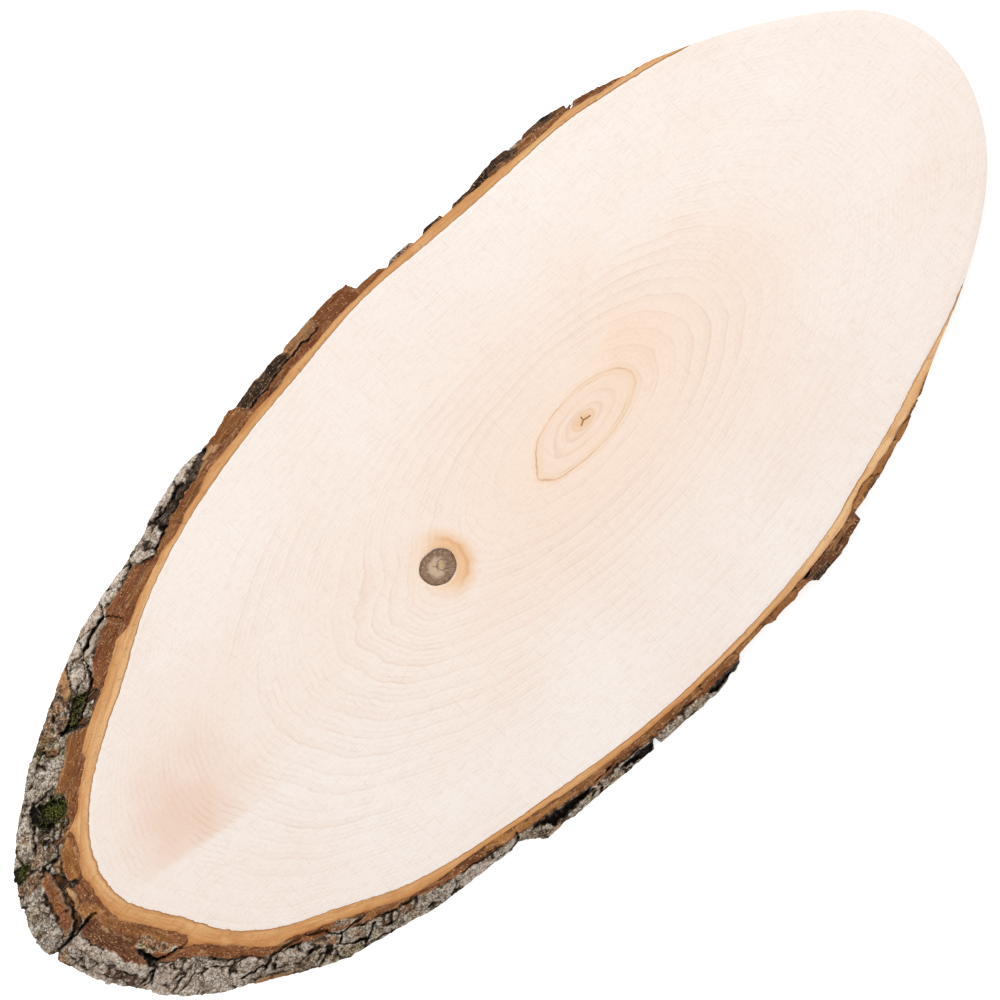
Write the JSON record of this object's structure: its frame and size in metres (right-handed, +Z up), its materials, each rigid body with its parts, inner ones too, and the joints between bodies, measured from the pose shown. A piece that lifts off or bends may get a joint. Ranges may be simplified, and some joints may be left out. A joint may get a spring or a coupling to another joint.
{
  "type": "wood slice",
  "caption": "Thin oval slice sawn at a slant through a trunk, with its bark on and one end trimmed bare; lies flat as a board, tray or sign blank.",
  "frame": {"origin": "middle of the slice's box, on its underside", "axes": "+X along the long axis of the oval, towards the end that is trimmed bare; +Y across the face; +Z up, out of the face"},
  "size_m": [0.4502, 0.1968, 0.008],
  "materials": {
    "sanded_wood": "sawn and sanded, matt, pale pinkish cream with faint rings",
    "knot_wood": "sanded dead branch wood, matt grey-brown with a dark ring",
    "inner_bark": "sawn inner bark, matt, tan",
    "outer_bark": "rough cracked bark, brown where sawn, grey outside"
  },
  "bodies": {
    "root": {"wood": "sanded_wood", "dead_knot": "knot_wood", "inner_bark": "inner_bark", "outer_bark": "outer_bark"}
  },
  "joints": []
}
